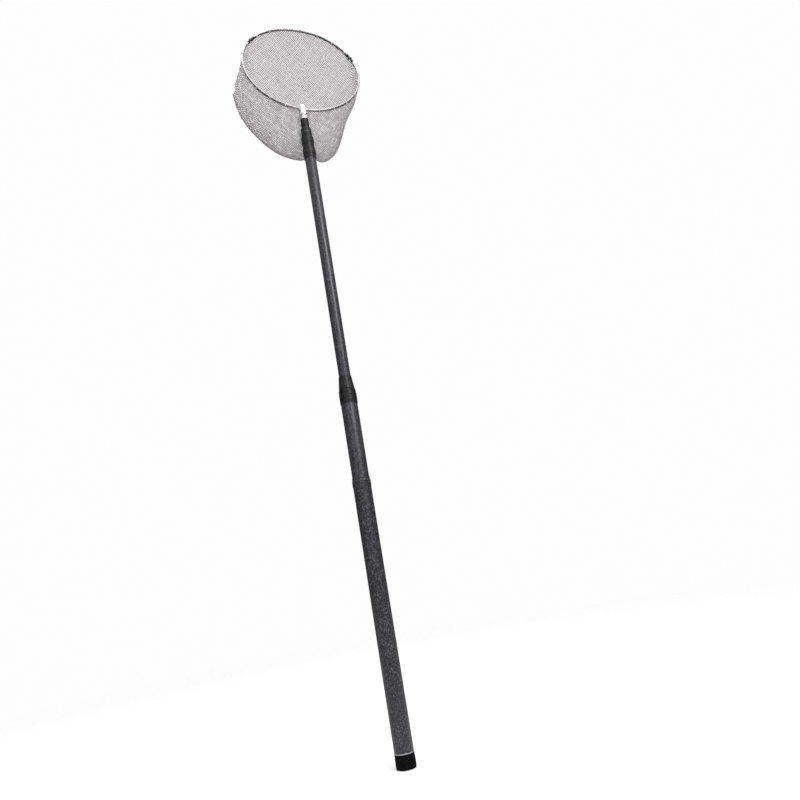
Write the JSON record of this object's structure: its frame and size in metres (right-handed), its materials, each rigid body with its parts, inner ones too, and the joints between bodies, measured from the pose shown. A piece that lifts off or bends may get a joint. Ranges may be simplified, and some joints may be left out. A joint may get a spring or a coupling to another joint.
{
  "type": "leaf skimmer net",
  "caption": "Telescoping pole with a twist lock, carrying a folding round wire hoop and a deep fine-mesh bag for lifting leaves out of water.",
  "frame": {"origin": "centre of the butt cap's flat end face", "axes": "+Z along the pole towards the net, -Y the way the hoop's mouth faces, +X to the right seen from the mouth's side"},
  "size_m": [0.3347, 0.1189, 1.821],
  "materials": {
    "pole_tube": "fine speckled matt black coating",
    "grip": "fine matt texture",
    "black_plastic": "satin moulding",
    "trim_metal": "bright ring",
    "bumper_foam": "closed-cell foam",
    "brass": "machined",
    "bright_steel": "bright drawn stainless wire",
    "connector_chrome": "polished plating",
    "net_mesh": "knotted light grey thread, open diamond mesh"
  },
  "bodies": {
    "butt": {"butt_tube": "pole_tube", "grip_sleeve": "grip", "grip_end_ring": "grip", "trim_ring": "trim_metal", "plug_insert_ring": "black_plastic", "section_bumper": "bumper_foam", "lock_base_ring": "black_plastic", "guide_bush": "black_plastic", "lock_collet": "black_plastic"},
    "butt_cap": {"butt_cap": "black_plastic", "cap_plug": "black_plastic"},
    "lock_collar": {"lock_cone": "black_plastic"},
    "stage_2": {"stage2_tube": "pole_tube", "stage2_foot_bush": "black_plastic", "stage2_end_ring": "black_plastic"},
    "stage_3": {"stage3_tube": "pole_tube", "stage3_foot_bush": "black_plastic", "stage3_end_ring": "black_plastic"},
    "stage_4": {"stage4_tube": "pole_tube", "stage4_foot_bush": "black_plastic", "stage4_end_ring": "black_plastic"},
    "tip": {"tip_tube": "pole_tube", "tip_foot_bush": "black_plastic", "tip_ferrule": "black_plastic", "thread_insert": "brass"},
    "lock_nut": {"lock_nut": "connector_chrome"},
    "head": {"head_stud": "bright_steel", "connector_block": "connector_chrome", "left_wire": "bright_steel", "right_wire": "bright_steel", "left_fixed_lug": "black_plastic", "right_fixed_lug": "black_plastic", "left_hinge_rivet": "bright_steel", "right_hinge_rivet": "bright_steel", "net_bag": "net_mesh"},
    "front_arc": {"front_wire": "bright_steel", "left_swing_lug": "black_plastic", "right_swing_lug": "black_plastic"}
  },
  "joints": [
    {"name": "cap_turn", "type": "hinge", "parent": "butt", "child": "butt_cap", "pos_m": [0, 0, 0], "axis": [0, 0, 1], "range_deg": [0, 360]},
    {"name": "lock_turn", "type": "hinge", "parent": "butt", "child": "lock_collar", "pos_m": [0, 0, 0.82], "axis": [0, 0, 1], "range_deg": [0, 90]},
    {"name": "stage_2_slide", "type": "slide", "parent": "butt", "child": "stage_2", "axis": [0, 0, 1], "range_m": [-0.55, 0]},
    {"name": "stage_3_slide", "type": "slide", "parent": "stage_2", "child": "stage_3", "axis": [0, 0, 1], "range_m": [0, 0.5]},
    {"name": "stage_4_slide", "type": "slide", "parent": "stage_3", "child": "stage_4", "axis": [0, 0, 1], "range_m": [0, 0.5]},
    {"name": "tip_slide", "type": "slide", "parent": "stage_4", "child": "tip", "axis": [0, 0, 1], "range_m": [0, 0.5]},
    {"name": "head_turn", "type": "hinge", "parent": "tip", "child": "head", "pos_m": [0, 0, 1.505], "axis": [0, 0, 1], "range_deg": [0, 360]},
    {"name": "lock_nut_turn", "type": "hinge", "parent": "head", "child": "lock_nut", "pos_m": [0, 0, 1.505], "axis": [0, 0, 1], "range_deg": [0, 360]},
    {"name": "hoop_fold", "type": "hinge", "parent": "head", "child": "front_arc", "pos_m": [0.03559, 0.05595, 1.745], "axis": [0.9866, 0, -0.1633], "range_deg": [0, 170]}
  ]
}
